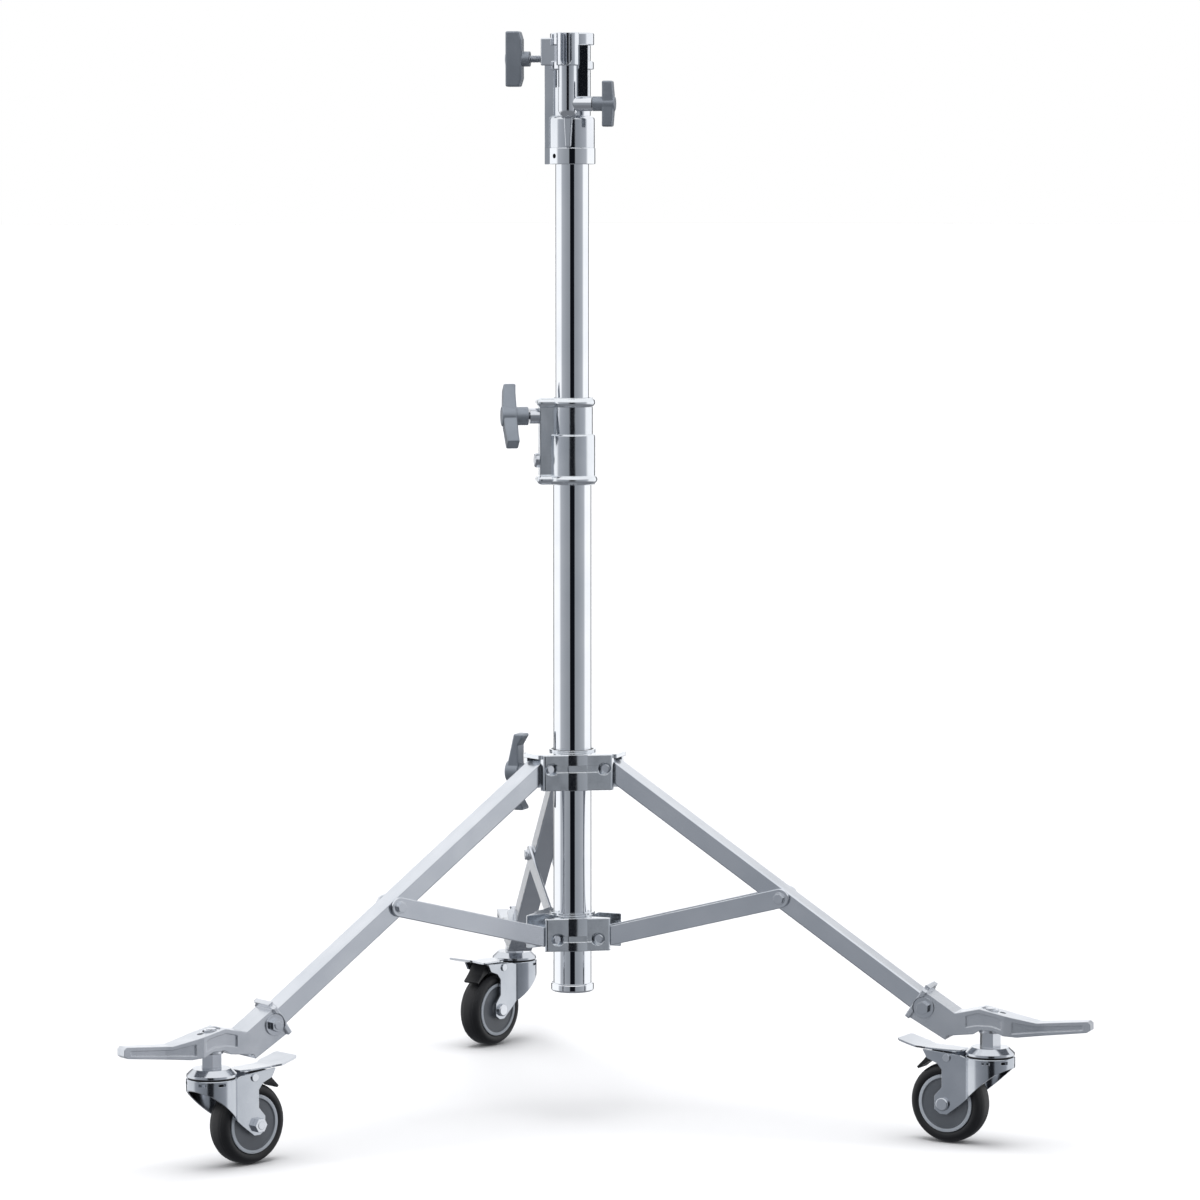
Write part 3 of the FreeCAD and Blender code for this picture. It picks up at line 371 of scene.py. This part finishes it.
def lock_screw(label):
    """The shank of a lock handle with its helical thread, in place of the plain one."""
    body = label + "_knob"
    axis = Vector(joints[body]["axis"]).normalized()
    origin = Vector(joints[body]["pos_m"])
    plain = nodes[label + "_stud"]
    reach = [(v.co - origin).dot(axis) for v in plain.data.vertices]
    low, high = min(reach), max(reach)
    crest = 3.95 * MM
    root = 3.2 * MM
    lead = 1.5 * MM
    rings_per_turn = 4
    steps = 24
    bpy.ops.mesh.primitive_cylinder_add(vertices=steps, radius=crest, depth=high - low,
                                        location=(0.0, 0.0, (low + high) / 2.0))
    screw = begin(label + "_screw")
    choose(screw, "edges", lambda ends: abs(ends[0].z - ends[1].z) > MM)
    bpy.ops.mesh.subdivide(number_cuts=int((high - low) / lead * rings_per_turn))
    bpy.ops.object.mode_set(mode="OBJECT")
    for vertex in screw.data.vertices:
        turn = math.atan2(vertex.co.y, vertex.co.x) / math.tau
        phase = (vertex.co.z / lead - turn) % 1.0
        flank = abs(2.0 * phase - 1.0)
        end = min(vertex.co.z - low, high - vertex.co.z)
        radius = min(root + (crest - root) * flank, root + end)
        vertex.co.xy *= radius / crest
    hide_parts(label + "_stud")
    settle(screw, along(axis, origin), rolled_thread, body)


def rim_band(name, side):
    """The light band of the wheel centre beside the tyre, on one face of the wheel."""
    body = "wheel_" + name
    inner = 26.3 * MM
    outer = 29.7 * MM
    face = 12.95 * MM
    thick = 1.2 * MM
    rounding = 0.35 * MM
    bpy.ops.mesh.primitive_circle_add(vertices=round_steps, radius=inner, fill_type="NOTHING")
    band = begin("rim_band_" + name + ("_near" if side < 0 else "_far"))
    bpy.ops.mesh.select_all(action="SELECT")
    bpy.ops.mesh.extrude_edges_move()
    bpy.ops.transform.resize(value=(outer / inner, outer / inner, 1.0))
    bpy.ops.mesh.select_all(action="SELECT")
    bpy.ops.mesh.normals_make_consistent(inside=False)
    bpy.ops.mesh.extrude_region_move(TRANSFORM_OT_translate={"value": (0.0, 0.0, thick)})
    bpy.ops.mesh.select_all(action="SELECT")
    bpy.ops.mesh.normals_make_consistent(inside=False)
    bpy.ops.mesh.bevel(offset=rounding, segments=2, affect="EDGES")
    bpy.ops.object.mode_set(mode="OBJECT")
    bpy.ops.object.shade_smooth_by_angle(angle=math.radians(40.0))
    shift = face - thick if side > 0 else -face
    place = along(joints[body]["axis"], joints[body]["pos_m"]) @ Matrix.Translation((0, 0, shift))
    settle(band, place, rim_plastic, body)


def race_gap_shadow(name):
    """A black ring of painted shadow, standing in for the shade in the gap between the castor's fork and
    its fixed race.
    """
    swivel = Vector(joints["castor_" + name]["pos_m"])
    above_swivel = 0.15 * MM
    radius = 23.6 * MM
    depth = 1.3 * MM
    lip = 8.0 * MM
    rounding = 0.25 * MM
    bpy.ops.mesh.primitive_cylinder_add(vertices=round_steps, radius=radius, depth=depth,
                                        location=(0.0, 0.0, depth / 2.0))
    shadow_ring = begin("painted_gap_shadow_" + name)
    choose(shadow_ring, "faces", lambda corners: len(corners) > 4)
    bpy.ops.mesh.inset(thickness=lip)
    bpy.ops.mesh.select_all(action="SELECT")
    bpy.ops.mesh.bevel(offset=rounding, segments=2, affect="EDGES")
    # The ring is painted shadow: a black piece set in the race gap where there is only shade.
    settle(shadow_ring, Matrix.Translation(swivel + Vector((0.0, 0.0, above_swivel))), brake_block_and_gap_black,
           "leg_" + name)


def tyre_shoulder(name):
    """The moulded tyre: a rounded tread with shallow shoulder grooves, in place of the plain one."""
    body = "wheel_" + name
    # One half of the section in mm, (radius, across), from the bead over the groove to the crown.
    profile = [(30.0, -11.5), (32.0, -12.85), (34.6, -12.95), (36.9, -12.2), (38.7, -10.6), (39.9, -8.2),
               (40.3, -7.6), (40.15, -7.1), (40.6, -6.4), (40.95, -3.4), (41.0, 0.0)]
    profile += [(radius, -across) for radius, across in profile[-2::-1]]
    tread_steps = 96
    bpy.ops.mesh.primitive_circle_add(vertices=len(profile), radius=profile[0][0] * MM)
    tyre = begin("tyre_moulded_" + name)
    bpy.ops.object.mode_set(mode="OBJECT")
    for vertex, (radius, across) in zip(tyre.data.vertices, profile):
        vertex.co = (radius * MM, 0.0, across * MM)
    bpy.ops.object.mode_set(mode="EDIT")
    bpy.ops.mesh.select_all(action="SELECT")
    bpy.ops.mesh.spin(steps=tread_steps, angle=math.tau, center=(0.0, 0.0, 0.0), axis=(0.0, 0.0, 1.0),
                      use_auto_merge=True)
    bpy.ops.mesh.select_all(action="SELECT")
    bpy.ops.mesh.remove_doubles(threshold=0.01 * MM)
    bpy.ops.mesh.normals_make_consistent(inside=False)
    bpy.ops.object.mode_set(mode="OBJECT")
    bpy.ops.object.shade_smooth_by_angle(angle=math.radians(50.0))
    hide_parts("tyre_" + name)
    settle(tyre, along(joints[body]["axis"], joints[body]["pos_m"]), tyre_rubber, body)


for label in ("mid_lock", "junior_lock", "baby_lock", "collar_lock"):
    lock_screw(label)
for name in legs:
    rim_band(name, -1)
    rim_band(name, 1)
    tyre_shoulder(name)
    # Each castor also gets a black ring of painted shadow in its race gap.
    race_gap_shadow(name)
